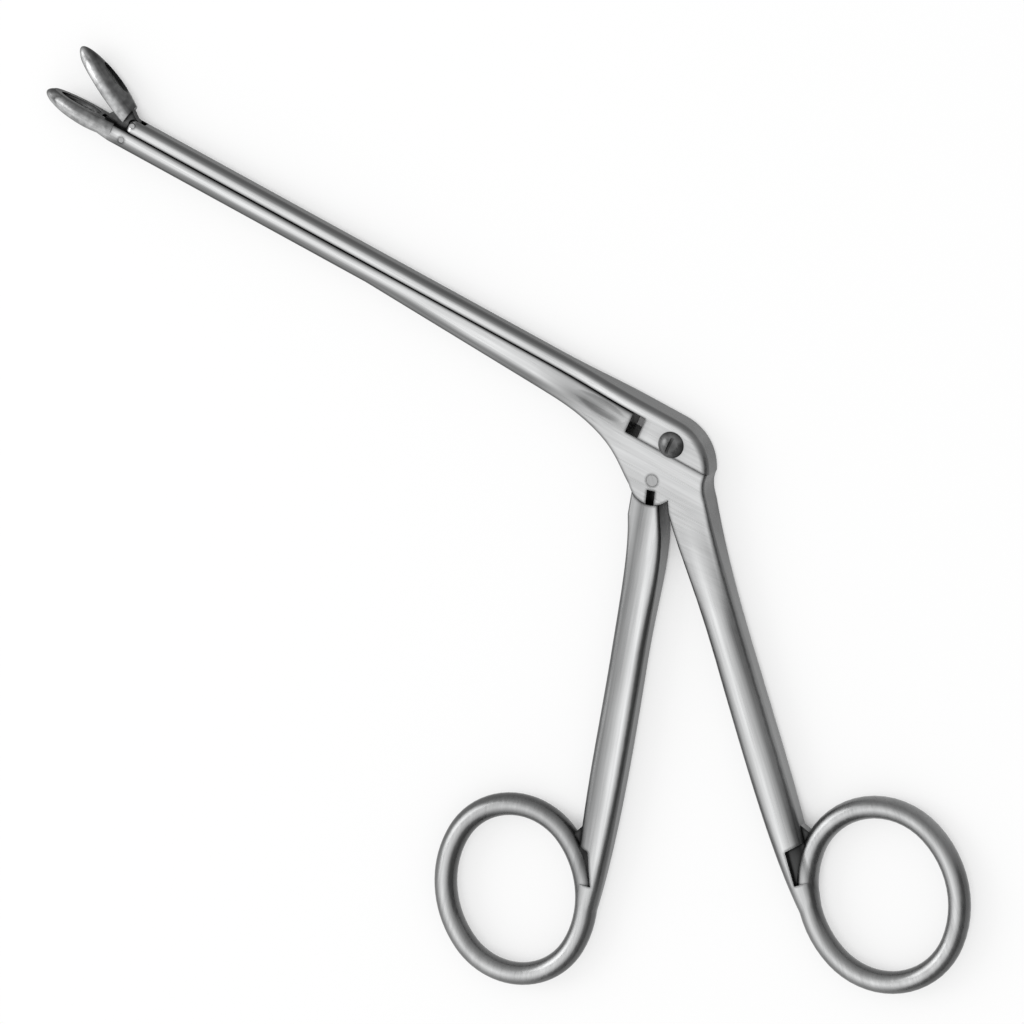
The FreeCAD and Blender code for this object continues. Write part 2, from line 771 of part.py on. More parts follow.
def moving_jaw():
    """Upper cup jaw with its tang, turned from its closed place to the open one."""
    axis_rise = bite_rise + cup_axis_drop
    length = jaw_length + upper_overhang
    cup = outer_cup(axis_rise, length)
    under = bar(hinge_forward - jaw_length, nose_tip + through, 0, bite_rise + bite_gap, 4 * cup_radius)
    rear_low = hinge_forward + cup_rear - cup_back_inset
    rear_high = rear_low + cup_back_lean * 2 * cup_radius
    far_rear = rear_low - cup_radius
    high = bite_rise + 2 * cup_radius
    behind = slab(polygon([(rear_low, bite_rise), (rear_high, high), (far_rear, high),
                           (far_rear, bite_rise)], centred_height(4 * cup_radius)), 4 * cup_radius)
    solid = carve(cup, [under, behind]).fuse(jaw_tang())
    nearest = link_arm
    farthest = link_arm / math.cos(half_opening)
    reach = (farthest - nearest) / 2
    direction = (math.sin(half_opening), math.cos(half_opening))
    midway = nearest + reach
    middle = (hinge_forward + direction[0] * midway, hinge_rise + direction[1] * midway)
    solid = carve(solid, [
        cup_hollow(axis_rise, length),
        cup_window(axis_rise, 1),
        through_hole(hinge_forward, hinge_rise, hinge_pin_radius + pin_clearance),
        long_hole(middle, direction, link_pin_radius + slot_clearance, reach),
    ])
    solid.rotate(at(hinge_forward, hinge_rise), Z_AXIS, -jaw_opening)
    return solid


def lever_plate(slot, along):
    """Thin plate of the front handle: tongue round the pivot, tapered lever and its round tip."""
    low = centred_height(tongue_thickness)
    disc = pin(0, 0, tongue_radius, low, low + tongue_thickness)
    tip = pin(slot[0], slot[1], lever_tip_radius, low, low + tongue_thickness)
    sides = []
    for spot, half in (((0, 0), lever_root_half_width), (slot, lever_tip_radius)):
        sides.append((spot[0] - along[1] * half, spot[1] + along[0] * half))
        sides.append((spot[0] + along[1] * half, spot[1] - along[0] * half))
    lever = slab(polygon([sides[0], sides[1], sides[3], sides[2]], low), tongue_thickness)
    web_front = front_root_offset - front_root_width / 2 + web_inset
    web_rear = shoulder_rear_offset - web_inset / 2
    web_low = front_root_station - web_overlap
    web = [beside_shank(front_lean, station, offset) for station, offset in (
        (0, web_front), (web_low, web_front), (web_low, web_rear), (0, web_rear))]
    return join(disc, [tip, lever, slab(polygon(web, low), tongue_thickness)])


def shoulder_block():
    """Full-thickness shoulder that the front shank grows from, under the round of the cheeks."""
    root_front = front_root_offset - front_root_width / 2
    root_rear = front_root_offset + front_root_width / 2

    def on_shoulder(offset):
        return math.sqrt(shoulder_radius ** 2 - offset ** 2)
    corner_front = beside_shank(front_lean, on_shoulder(root_front), root_front)
    corner_rear = beside_shank(front_lean, on_shoulder(shoulder_rear_offset), shoulder_rear_offset)
    lowest = beside_shank(front_lean, on_shoulder(0), 0)
    base_front = beside_shank(front_lean, front_root_station, root_front)
    base_rear = beside_shank(front_lean, front_root_station, root_rear)
    block = slab(Part.Wire([
        arc(at(*corner_front), at(*lowest), at(*corner_rear)),
        line(at(*corner_rear), at(*base_rear)),
        line(at(*base_rear), at(*base_front)),
        line(at(*base_front), at(*corner_front)),
    ]), body_thickness)
    sides = []
    for edge in block.Edges:
        tangent = edge.tangentAt(edge.FirstParameter)
        middle = edge.valueAt((edge.FirstParameter + edge.LastParameter) / 2)
        for start, end in ((corner_front, base_front), (corner_rear, base_rear)):
            centre = at((start[0] + end[0]) / 2, (start[1] + end[1]) / 2, middle.z)
            if abs(tangent.z) < 0.1 and middle.distanceToPoint(centre) < 0.01:
                sides.append(edge)
    return block.makeFillet(body_edge_round, sides)


def front_handle():
    """Front lever: tongue on the pivot, slotted tip in the block, shoulder, shank and ring."""
    turn = math.radians(drive_start)
    along = (-math.sin(turn), math.cos(turn))
    farthest = drive_rise / math.cos(math.radians(drive_end))
    reach = (farthest - drive_rise) / 2
    slot = (along[0] * (drive_rise + reach), along[1] * (drive_rise + reach))
    block = shoulder_block()
    root = (front_root_station, front_root_offset, front_root_width)
    ring, _ = oval_ring(front_lean, front_shank_offset, front_ring_long, front_ring_short,
                        front_ring_tilt, -1)
    front_shank = shank(block, front_lean, root, front_shank_offset, front_shank_width)
    pockets = crotch_pockets(front_lean, front_shank_offset, front_shank_width, -1, front_pocket_side)
    parts = [block, carve(front_shank, pockets)]
    parts.append(braze_web(front_lean, front_shank_offset, front_shank_width, -1))
    solid = join(lever_plate(slot, along), parts + [join(ring[0], ring[1:])])
    return carve(solid, [
        through_hole(0, 0, pivot_radius + pin_clearance),
        long_hole(slot, along, drive_pin_radius + slot_clearance, reach),
    ])


def drive_screw():
    """Domed screw with a driver slot, through the block and the lever's slot."""
    forward, rise = -drive_setback, drive_rise
    face = body_thickness + slide_clearance
    dome = (drive_head_radius ** 2 + drive_head_height ** 2) / (2 * drive_head_height)
    middle = drive_head_radius / 2
    middle_height = face + drive_head_height - dome + math.sqrt(dome ** 2 - middle ** 2)
    edges = [
        line(at(forward, rise, drive_recess), at(forward + drive_pin_radius, rise, drive_recess)),
        line(at(forward + drive_pin_radius, rise, drive_recess), at(forward + drive_pin_radius, rise, face)),
        line(at(forward + drive_pin_radius, rise, face), at(forward + drive_head_radius, rise, face)),
        arc(at(forward + drive_head_radius, rise, face), at(forward + middle, rise, middle_height),
            at(forward, rise, face + drive_head_height)),
        line(at(forward, rise, face + drive_head_height), at(forward, rise, drive_recess)),
    ]
    screw = Part.Face(Part.Wire(edges)).revolve(at(forward, rise), Z_AXIS, 360)
    slot_floor = face + drive_head_height - driver_slot_depth
    slot = [(forward - driver_slot_width / 2, rise - 2 * drive_head_radius),
            (forward + driver_slot_width / 2, rise - 2 * drive_head_radius),
            (forward + driver_slot_width / 2, rise + 2 * drive_head_radius),
            (forward - driver_slot_width / 2, rise + 2 * drive_head_radius)]
    return screw.cut(slab(polygon(slot, slot_floor), drive_head_height))


def shaft_pin(forward, rise, radius):
    """Rivet across the shaft, flush with both sides."""
    low = centred_height(shaft_width)
    return pin(forward, rise, radius, low, low + shaft_width)


def main():
    """Build every piece and write it."""
    os.makedirs("parts", exist_ok=True)
    save("fixed_shaft", fixed_shaft())
    save("slide_bar", slide_bar())
    save("moving_jaw", moving_jaw())
    save("front_handle", front_handle())
    save("pivot_pin", pin(0, 0, pivot_radius, 0, body_thickness))
    save("drive_screw", drive_screw())
    save("jaw_hinge_pin", shaft_pin(hinge_forward, hinge_rise, hinge_pin_radius))
    save("jaw_link_pin", shaft_pin(hinge_forward - link_setback, hinge_rise + link_arm, link_pin_radius))
    print("slide travel", round(slide_travel, 4), "handle swing", round(handle_swing, 3))


main()
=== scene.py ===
"""Studio scene of a pair of nasal forceps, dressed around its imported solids.

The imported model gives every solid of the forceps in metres. This scene adds
the steel finishes, a pale floor, a soft lamp and a camera at the angle of the
photograph, and moves nothing.
"""

import logging
import math
from dataclasses import dataclass
from enum import Enum

import bpy
from mathutils import Matrix, Vector


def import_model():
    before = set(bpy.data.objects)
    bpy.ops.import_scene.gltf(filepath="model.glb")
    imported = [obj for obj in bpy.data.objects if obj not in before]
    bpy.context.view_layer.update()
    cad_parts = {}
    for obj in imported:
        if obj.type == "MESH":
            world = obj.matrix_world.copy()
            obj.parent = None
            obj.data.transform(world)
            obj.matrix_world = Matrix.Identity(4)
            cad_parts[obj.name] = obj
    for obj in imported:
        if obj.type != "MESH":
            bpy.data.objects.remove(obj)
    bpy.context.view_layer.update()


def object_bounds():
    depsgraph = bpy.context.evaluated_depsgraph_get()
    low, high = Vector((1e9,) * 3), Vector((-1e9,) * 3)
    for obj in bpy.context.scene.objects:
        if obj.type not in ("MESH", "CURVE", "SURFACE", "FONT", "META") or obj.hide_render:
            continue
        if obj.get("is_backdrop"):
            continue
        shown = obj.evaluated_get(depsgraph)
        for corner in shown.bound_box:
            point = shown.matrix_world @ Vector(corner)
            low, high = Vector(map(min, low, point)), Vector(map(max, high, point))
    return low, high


LOG = logging.getLogger("forceps")

MM = 1000.0

Triple = tuple[float, float, float]
Colour = tuple[float, float, float, float]
Stop = tuple[float, float]
Span = tuple[float, float]

WHITE: Colour = (1.0, 1.0, 1.0, 1.0)
NOISE_SPAN: Span = (0.25, 0.75)
LINE_SPAN: Span = (0.3, 0.7)


class Grain(Enum):
    """The way that a piece was polished, as degrees from X about Z."""

    ALONG_SHAFT = 0.0
    ALONG_TAPER = -2.79
    ALONG_OPEN_JAW = -29.0
    ALONG_FRONT_SHANK = 103.75
    ALONG_REAR_SHANK = 131.4


def linear(shade: float) -> float:
    """Turn a shade as it looks on a screen into the light that it stands for.

    Args:
        shade: A grey from 0, black, to 1, white, as a picture holds it.

    Returns:
        The same grey as a linear amount of light.
    """
    if shade <= 0.04045:
        return shade / 12.92
    return ((shade + 0.055) / 1.055) ** 2.4


def grey(shade: float) -> Colour:
    """Give the colour of a grey, from its shade on a screen."""
    return (linear(shade),) * 3 + (1.0,)


class Graph:
    """A node tree, with short ways to add nodes and to join them."""

    def __init__(self, tree: bpy.types.NodeTree) -> None:
        """Empty the tree and keep it.

        Args:
            tree: The node tree of a material or of the world.
        """
        self.tree = tree
        tree.nodes.clear()

    def add(self, kind: str, **settings: object) -> bpy.types.Node:
        """Add one node.

        Args:
            kind: The node's type, without the words that all types share.
            **settings: The node's own settings, by their names.

        Returns:
            The new node.
        """
        node = self.tree.nodes.new("ShaderNode" + kind)
        for name, value in settings.items():
            setattr(node, name, value)
        return node

    def feed(self, socket: bpy.types.NodeSocket, value: object) -> None:
        """Set one input, or link it where the value is another node's output.

        Args:
            socket: The input.
            value: A number, a tuple or an output socket.
        """
        if isinstance(value, bpy.types.NodeSocket):
            self.tree.links.new(value, socket)
        else:
            socket.default_value = value

    def maths(
        self, operation: str, first: object, second: object = 0.0
    ) -> bpy.types.NodeSocket:
        """Work out one sum with numbers.

        Args:
            operation: The name of the sum, such as ADD.
            first: The first number or socket.
            second: The second number or socket.

        Returns:
            The socket that holds the result.
        """
        node = self.add("Math", operation=operation)
        self.feed(node.inputs[0], first)
        self.feed(node.inputs[1], second)
        return node.outputs[0]

    def spread(
        self, value: bpy.types.NodeSocket, low: float, high: float, start: object, end: object
    ) -> bpy.types.NodeSocket:
        """Carry a number from one span to another, and stop at the ends.

        Args:
            value: The number.
            low: The low end of the span that it comes from.
            high: The high end of that span.
            start: What the low end becomes, as a number or a socket.
            end: What the high end becomes, as a number or a socket.

        Returns:
            The socket that holds the new number.
        """
        node = self.add("MapRange")
        for place, number in enumerate((value, low, high, start, end)):
            self.feed(node.inputs[place], number)
        return node.outputs[0]

    def vary(
        self, shade: bpy.types.NodeSocket, noise: bpy.types.NodeSocket, amount: float
    ) -> bpy.types.NodeSocket:
        """Make a shade lighter and darker by noise.

        Args:
            shade: The shade.
            noise: The noise, from 0 to 1.
            amount: The share by which the shade goes up and down.

        Returns:
            The socket that holds the new shade.
        """
        share = self.spread(noise, *NOISE_SPAN, 1.0 - amount, 1.0 + amount)
        return self.maths("MULTIPLY", shade, share)

    def blend(
        self, mask: bpy.types.NodeSocket, first: object, second: object
    ) -> bpy.types.NodeSocket:
        """Mix two numbers.

        Args:
            mask: The share of the second, from 0 to 1.
            first: The number or socket where the mask is 0.
            second: The number or socket where the mask is 1.

        Returns:
            The socket that holds the mix.
        """
        return self.spread(mask, 0.0, 1.0, first, second)

    def split(self, vector: bpy.types.NodeSocket) -> bpy.types.bpy_prop_collection:
        """Take a vector apart.

        Args:
            vector: The vector.

        Returns:
            The sockets that hold its X, Y and Z.
        """
        node = self.add("SeparateXYZ")
        self.feed(node.inputs[0], vector)
        return node.outputs

    def noise(
        self, vector: bpy.types.NodeSocket, scale: float, detail: float
    ) -> bpy.types.NodeSocket:
        """Add soft noise.

        Args:
            vector: The point that the noise is read at.
            scale: How many lumps there are to a unit.
            detail: How many finer layers it has.

        Returns:
            The socket that holds the noise, from 0 to 1.
        """
        node = self.add("TexNoise")
        self.feed(node.inputs["Vector"], vector)
        self.feed(node.inputs["Scale"], scale)
        self.feed(node.inputs["Detail"], detail)
        return node.outputs[0]

    def turned(
        self, vector: bpy.types.NodeSocket, degrees: float, scale: Triple
    ) -> bpy.types.NodeSocket:
        """Turn a vector about Z and stretch it.

        Args:
            vector: The vector.
            degrees: The direction that becomes X.
            scale: The stretch along the new X, Y and Z.

        Returns:
            The socket that holds the new vector.
        """
        turn = self.add("VectorRotate", rotation_type="Z_AXIS")
        self.feed(turn.inputs["Vector"], vector)
        self.feed(turn.inputs["Angle"], -math.radians(degrees))
        stretch = self.add("VectorMath", operation="MULTIPLY")
        self.feed(stretch.inputs[0], turn.outputs[0])
        self.feed(stretch.inputs[1], scale)
        return stretch.outputs[0]

    def greys(self, value: bpy.types.NodeSocket, stops: tuple[Stop, ...]) -> bpy.types.NodeSocket:
        """Read a grey from a ramp.

        Args:
            value: The place on the ramp, from 0 to 1.
            stops: The ramp's places and their shades.

        Returns:
            The socket that holds the grey as a number.
        """
        ramp = self.add("ValToRGB")
        row = ramp.color_ramp.elements
        while len(row) < len(stops):
            row.new(1.0)
        for element, (place, shade) in zip(row, stops):
            element.position = place
            element.color = grey(shade)
        self.feed(ramp.inputs[0], value)
        return ramp.outputs[0]

    def end(self, shader: bpy.types.NodeSocket, kind: str = "OutputMaterial") -> None:
        """Send a shader to the output of the tree."""
        self.feed(self.add(kind).inputs["Surface"], shader)


def new_material(name: str) -> tuple[bpy.types.Material, Graph]:
    """Make a material that has no nodes yet.

    Args:
        name: The material's name.

    Returns:
        The material and its node tree.
    """
    material = bpy.data.materials.new(name)
    material.use_nodes = True
    return material, Graph(material.node_tree)


@dataclass(frozen=True)
class Region:
    """A stretch of a solid that was ground and polished one way, with painted highlights and
    painted shade in its greys: the face ramp across the grain, and the tilt ramp darker where the
    steel faces sideways.

    Places are in millimetres from the pivot. They run along the grain, or
    across it, where across turns from the grain as Y turns from X. The
    stretches of the noise are lumps to a metre, along and across the grain.
    """

    grain: Grain
    across: Span
    face: tuple[Stop, ...]
    tilt: tuple[Stop, ...]
    begins: Span | None = None
    cloud: float = 0.12
    cloud_stretch: Triple = (45.0, 300.0, 300.0)
    cloud_detail: float = 2.0
    streak: float = 0.10
    line_stretch: Triple = (70.0, 2600.0, 2600.0)
    line_detail: float = 3.0
    mottle: float = 0.0
    mottle_size: float = 1.1
    mottle_detail: float = 2.5

    def place(self, graph: Graph, point: bpy.types.NodeSocket) -> bpy.types.NodeSocket:
        """Turn a point so that X is along the grain, in millimetres."""
        return graph.turned(point, self.grain.value, (MM, MM, MM))

    def mask(self, graph: Graph, point: bpy.types.NodeSocket) -> bpy.types.NodeSocket:
        """Work out where this region covers the ones before it.

        Args:
            graph: The material's nodes.
            point: The point on the piece.

        Returns:
            The socket that holds 0 outside and 1 inside.
        """
        along = graph.split(self.place(graph, point))[0]
        return graph.spread(along, *self.begins, 0.0, 1.0)

    def lines(self, graph: Graph, point: bpy.types.NodeSocket) -> bpy.types.NodeSocket:
        """Draw the fine lines that polishing leaves, from 0 to 1."""
        fine = graph.turned(point, self.grain.value, self.line_stretch)
        return graph.noise(fine, 1.0, self.line_detail)

    def shade(
        self, graph: Graph, point: bpy.types.NodeSocket, upright: bpy.types.NodeSocket
    ) -> bpy.types.NodeSocket:
        """Work out the grey of the steel in this region.

        Args:
            graph: The material's nodes.
            point: The point on the piece.
            upright: How squarely the steel faces up or down, from 0 to 1.

        Returns:
            The socket that holds the grey as light.
        """
        across = graph.split(self.place(graph, point))[1]
        # Face ramp: painted highlights and painted shade bands across the bar; tilt ramp: painted
        # shade where the steel faces sideways.
        face = graph.greys(graph.spread(across, *self.across, 0.0, 1.0), self.face)
        shade = graph.maths("MULTIPLY", face, graph.greys(upright, self.tilt))
        broad = graph.turned(point, self.grain.value, self.cloud_stretch)
        shade = graph.vary(shade, graph.noise(broad, 1.0, self.cloud_detail), self.cloud)
        shade = graph.vary(shade, self.lines(graph, point), self.streak)
        if self.mottle:
            patches = graph.noise(point, MM / self.mottle_size, self.mottle_detail)
            shade = graph.vary(shade, patches, self.mottle)
        return shade


@dataclass(frozen=True)
class SteelFinish:
    """Satin stainless steel, its grey painted with shade on edges, flanks, creases and recesses,
    and with highlights and shade bands across its faces.

    Lengths and heights are in millimetres.
    """

    name: str
    regions: tuple[Region, ...]
    # edge widens the painted shade by facing over each rounded edge; crease and recess set
    # painted shade in creases and on the floors of recesses.
    edge: float = 0.8
    edge_samples: int = 6
    crease: float = 0.6
    crease_reach: float = 1.6
    crease_samples: int = 8
    crease_open: Span = (0.45, 0.95)
    recess: float = 0.13
    recess_height: Span = (1.50, 1.68)
    middle_height: float = 2.9
    flat_level: Span = (0.85, 0.95)
    roughness: Span = (0.25, 0.37)
    line_strength: float = 0.12
    line_height: float = 0.02
    tint: Triple = (0.990, 0.997, 1.0)

    def material(self) -> bpy.types.Material:
        """Make the material of this finish.

        Returns:
            The new material.
        """
        material, graph = new_material(self.name)
        place = graph.add("TexCoord")
        point = place.outputs["Object"]
        upright = self.upright(graph)
        shade = self.regions[0].shade(graph, point, upright)
        lines = self.regions[0].lines(graph, point)
        for region in self.regions[1:]:
            mask = region.mask(graph, point)
            shade = graph.blend(mask, shade, region.shade(graph, point, upright))
            lines = graph.blend(mask, lines, region.lines(graph, point))
        # Painted shade in recesses and creases, where less light reaches.
        shade = graph.maths("MULTIPLY", shade, self.recess_shade(graph, place))
        shade = graph.maths("MULTIPLY", shade, self.crease_shade(graph))
        tinted = graph.add("VectorMath", operation="SCALE")
        graph.feed(tinted.inputs[0], self.tint)
        graph.feed(tinted.inputs["Scale"], shade)
        steel = graph.add("BsdfPrincipled")
        steel.inputs["Metallic"].default_value = 1.0
        graph.feed(steel.inputs["Base Color"], tinted.outputs[0])
        rough = graph.spread(lines, *LINE_SPAN, *self.roughness)
        graph.feed(steel.inputs["Roughness"], rough)
        bump = graph.add("Bump")
        graph.feed(bump.inputs["Strength"], self.line_strength)
        graph.feed(bump.inputs["Distance"], self.line_height / MM)
        graph.feed(bump.inputs["Height"], lines)
        graph.feed(steel.inputs["Normal"], bump.outputs[0])
        graph.end(steel.outputs[0])
        return material

    def upright(self, graph: Graph) -> bpy.types.NodeSocket:
        """Tell how squarely the steel faces up or down, with a soft rim beside each edge.

        Args:
            graph: The material's nodes.

        Returns:
            The socket that holds 1 where it faces straight up or down.
        """
        rim = graph.add("Bevel", samples=self.edge_samples)
        graph.feed(rim.inputs["Radius"], self.edge / MM)
        return graph.maths("ABSOLUTE", graph.split(rim.outputs[0])[2])

    def recess_shade(self, graph: Graph, place: bpy.types.Node) -> bpy.types.NodeSocket:
        """Paint shade on the flat floors of slots and pockets, near the middle of the thickness.

        Args:
            graph: The material's nodes.
            place: The node that gives the point and the normal.

        Returns:
            The socket that holds the share of light that is left.
        """
        height = graph.maths("MULTIPLY", graph.split(place.outputs["Object"])[2], MM)
        off = graph.maths("ABSOLUTE", graph.maths("SUBTRACT", height, self.middle_height))
        deep = graph.spread(off, *self.recess_height, 1.0, 0.0)
        level = graph.maths("ABSOLUTE", graph.split(place.outputs["Normal"])[2])
        flat = graph.spread(level, *self.flat_level, 0.0, 1.0)
        return graph.spread(graph.maths("MULTIPLY", deep, flat), 0.0, 1.0, 1.0, self.recess)

    def crease_shade(self, graph: Graph) -> bpy.types.NodeSocket:
        """Paint shade into creases and onto the walls of holes, by ambient occlusion.

        Args:
            graph: The material's nodes.

        Returns:
            The socket that holds the share of light that is left.
        """
        crease_occlusion = graph.add("AmbientOcclusion", samples=self.crease_samples)
        graph.feed(crease_occlusion.inputs["Distance"], self.crease_reach / MM)
        return graph.spread(crease_occlusion.outputs["AO"], *self.crease_open, 1.0 - self.crease, 1.0)


# Painted shade by facing: multipliers on the steel's grey that darken it where the surface turns
# away from straight up or down, standing in for the darker reflections on edges, flanks and
# wires.
SIDE_SHADE: tuple[Stop, ...] = (
    (0.0, 0.56),
    (0.20, 0.50),
    (0.45, 0.45),
    (0.75, 0.52),
    (0.90, 0.67),
    (0.98, 0.88),
    (1.0, 1.0),
)
SIDE_SHADE_PALE: tuple[Stop, ...] = (
    (0.0, 0.68),
    (0.35, 0.62),
    (0.75, 0.50),
    (0.90, 0.62),
    (0.98, 0.86),
    (1.0, 1.0),
)
SIDE_SHADE_CUP: tuple[Stop, ...] = (
    (0.0, 0.52),
    (0.35, 0.60),
    (0.70, 0.80),
    (0.92, 1.0),
    (1.0, 1.0),
)

# Face ramps below: greys across each stretch that follow the light and dark bands of the polished
# steel, partly its own polish and partly painted highlights, painted reflections and painted
# shade.
BODY = Region(
    Grain.ALONG_SHAFT,
    (-9.2, 5.0),
    (
        (0.0, 0.60),
        (0.04, 0.60),
        (0.085, 0.72),
        (0.13, 0.72),
        (0.21, 0.70),
        (0.27, 0.72),
        (0.34, 0.80),
        (0.44, 0.83),
        (0.65, 0.80),
        (1.0, 0.78),
    ),
    SIDE_SHADE,
)
# Painted shade: a dark patch on the flare of the body below the slide, where the hollow-ground
# face turns away from the light.
HOLLOW_SHADE = Region(
    Grain.ALONG_SHAFT,
    (-9.2, -4.2),
    (
        (0.0, 0.54),
        (0.10, 0.58),
        (0.18, 0.66),
        (0.26, 0.66),
        (0.34, 0.62),
        (0.42, 0.56),
        (0.50, 0.50),
        (0.58, 0.52),
        (0.66, 0.60),
        (0.74, 0.68),
        (0.90, 0.74),
    ),
    SIDE_SHADE,
    begins=(7.0, 15.0),
)
LOWER_TAPER = Region(
    Grain.ALONG_TAPER,
    (-8.2, -3.0),
    (
        (0.0, 0.74),
        (0.30, 0.80),
        (0.50, 0.86),
        (0.58, 0.88),
        (0.66, 0.74),
        (0.74, 0.54),
        (0.80, 0.48),
        (0.90, 0.56),
        (1.0, 0.66),
    ),
    SIDE_SHADE,
    begins=(17.0, 27.0),
)
LOWER_BAR = Region(
    Grain.ALONG_SHAFT,
    (-9.2, -5.4),
    (
        (0.0, 0.60),
        (0.13, 0.62),
        (0.24, 0.82),
        (0.33, 0.92),
        (0.42, 0.84),
        (0.52, 0.62),
        (0.62, 0.48),
        (0.74, 0.50),
        (0.84, 0.60),
    ),
    SIDE_SHADE,
    begins=(48.0, 66.0),
)
# Painted shade: dark bands along the bite edge of the lower cup, with random mottle over them.
LOWER_CUP = Region(
    Grain.ALONG_SHAFT,
    (-10.4, -5.4),
    (
        (0.0, 0.44),
        (0.25, 0.40),
        (0.38, 0.46),
        (0.50, 0.70),
        (0.70, 0.74),
        (0.85, 0.60),
        (1.0, 0.52),
    ),
    SIDE_SHADE_CUP,
    begins=(110.0, 112.5),
    mottle=0.36,
)
REAR_SHANK = Region(
    Grain.ALONG_REAR_SHANK,
    (1.0, 7.5),
    (
        (0.0, 0.74),
        (0.14, 0.66),
        (0.22, 0.72),
        (0.31, 0.84),
        (0.40, 0.91),
        (0.50, 0.82),
        (0.58, 0.74),
        (0.66, 0.66),
        (0.72, 0.58),
        (0.80, 0.46),
        (0.86, 0.56),
        (0.95, 0.80),
    ),
    SIDE_SHADE_PALE,
    begins=(8.0, 28.0),
)
REAR_RING = Region(
    Grain.ALONG_REAR_SHANK, (0.0, 8.0), ((0.0, 0.80), (1.0, 0.82)), SIDE_SHADE, begins=(68.0, 78.0)
)
BLOCK = Region(
    Grain.ALONG_SHAFT,
    (-11.5, -5.5),
    ((0.0, 0.76), (0.2, 0.86), (0.35, 0.80), (0.6, 0.77), (1.0, 0.80)),
    SIDE_SHADE,
)
UPPER_BAR = Region(
    Grain.ALONG_SHAFT,
    (-11.5, -9.1),
    (
        (0.0, 0.74),
        (0.17, 0.74),
        (0.33, 0.80),
        (0.50, 0.86),
        (0.67, 0.88),
        (0.83, 0.78),
        (1.0, 0.62),
    ),
    SIDE_SHADE,
    begins=(4.0, 7.0),
)
# Painted shade: a dark band along the back of the open cup, over its window, with random mottle.
UPPER_CUP = Region(
    Grain.ALONG_OPEN_JAW,
    (41.0, 44.6),
    (
        (0.0, 0.64),
        (0.12, 0.50),
        (0.28, 0.34),
        (0.42, 0.40),
        (0.56, 0.64),
        (0.74, 0.76),
        (0.88, 0.72),
        (1.0, 0.56),
    ),
    SIDE_SHADE_CUP,
    mottle=0.36,
)
FRONT_SHANK = Region(
    Grain.ALONG_FRONT_SHANK,
    (-2.6, 3.8),
    (
        (0.0, 0.74),
        (0.15, 0.64),
        (0.24, 0.54),
        (0.375, 0.64),
        (0.52, 0.76),
        (0.625, 0.87),
        (0.72, 0.90),
        (0.80, 0.80),
        (1.0, 0.76),
    ),
    SIDE_SHADE,
)
FRONT_RING = Region(
    Grain.ALONG_FRONT_SHANK, (-3.0, 4.0), ((0.0, 0.82), (1.0, 0.80)), SIDE_SHADE, begins=(68.0, 78.0)
)
PIVOT_END = Region(Grain.ALONG_REAR_SHANK, (-1.0, 1.0), ((0.0, 0.66), (1.0, 0.70)), SIDE_SHADE)
PIN_END = Region(Grain.ALONG_SHAFT, (-12.0, -6.0), ((0.0, 0.67), (1.0, 0.67)), SIDE_SHADE)
# Dark grey head; its tilt ramp paints a bright ring on the dome's slope, a painted highlight,
# under random mottle.
SCREW_HEAD = Region(
    Grain.ALONG_REAR_SHANK,
    (-8.0, -2.0),
    ((0.0, 0.46), (1.0, 0.46)),
    ((0.0, 0.50), (0.60, 0.62), (0.85, 0.95), (0.96, 0.80), (1.0, 0.72)),
    mottle=0.25,
)


def dress(node: str, finish: SteelFinish) -> None:
    """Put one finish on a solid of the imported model.

    Args:
        node: The solid's name.
        finish: The finish that it gets.
    """
    solid = bpy.data.objects[node]
    material = finish.material()
    solid.data.materials.clear()
    solid.data.materials.append(material)
    LOG.info("%s wears %s", node, finish.name)


@dataclass
class FixedSide:
    """The fixed shaft with its rear handle, and the two pins that it carries."""

    shaft: SteelFinish = SteelFinish(
        "shaft_steel",
        (BODY, HOLLOW_SHADE, LOWER_TAPER, LOWER_BAR, LOWER_CUP, REAR_SHANK, REAR_RING),
    )
    pivot: SteelFinish = SteelFinish("pivot_steel", (PIVOT_END,), edge=0.12, crease=0.3)
    hinge: SteelFinish = SteelFinish("hinge_pin_steel", (PIN_END,), edge=0.1, crease=0.3)

    def dress(self) -> None:
        """Finish the shaft and its pins."""
        dress("fixed_shaft", self.shaft)
        dress("pivot_pin", self.pivot)
        dress("jaw_hinge_pin", self.hinge)


@dataclass
class SlideSide:
    """The bar that slides on the shaft, with its drive screw and link pin."""

    bar: SteelFinish = SteelFinish("slide_steel", (BLOCK, UPPER_BAR), edge=0.7)
    screw: SteelFinish = SteelFinish("screw_steel", (SCREW_HEAD,), edge=0.25)
    pin: SteelFinish = SteelFinish("link_pin_steel", (PIN_END,), edge=0.1, crease=0.3)

    def dress(self) -> None:
        """Finish the bar, its screw and its pin."""
        dress("slide_bar", self.bar)
        dress("drive_screw", self.screw)
        dress("jaw_link_pin", self.pin)


@dataclass
class JawSide:
    """The jaw that opens."""

    cup: SteelFinish = SteelFinish("jaw_steel", (UPPER_CUP,), edge=0.4, recess=0.4)

    def dress(self) -> None:
        """Finish the jaw."""
        dress("moving_jaw", self.cup)


@dataclass
class HandleSide:
    """The front handle, which works the slide."""

    handle: SteelFinish = SteelFinish("handle_steel", (FRONT_SHANK, FRONT_RING))

    def dress(self) -> None:
        """Finish the handle."""
        dress("front_handle", self.handle)


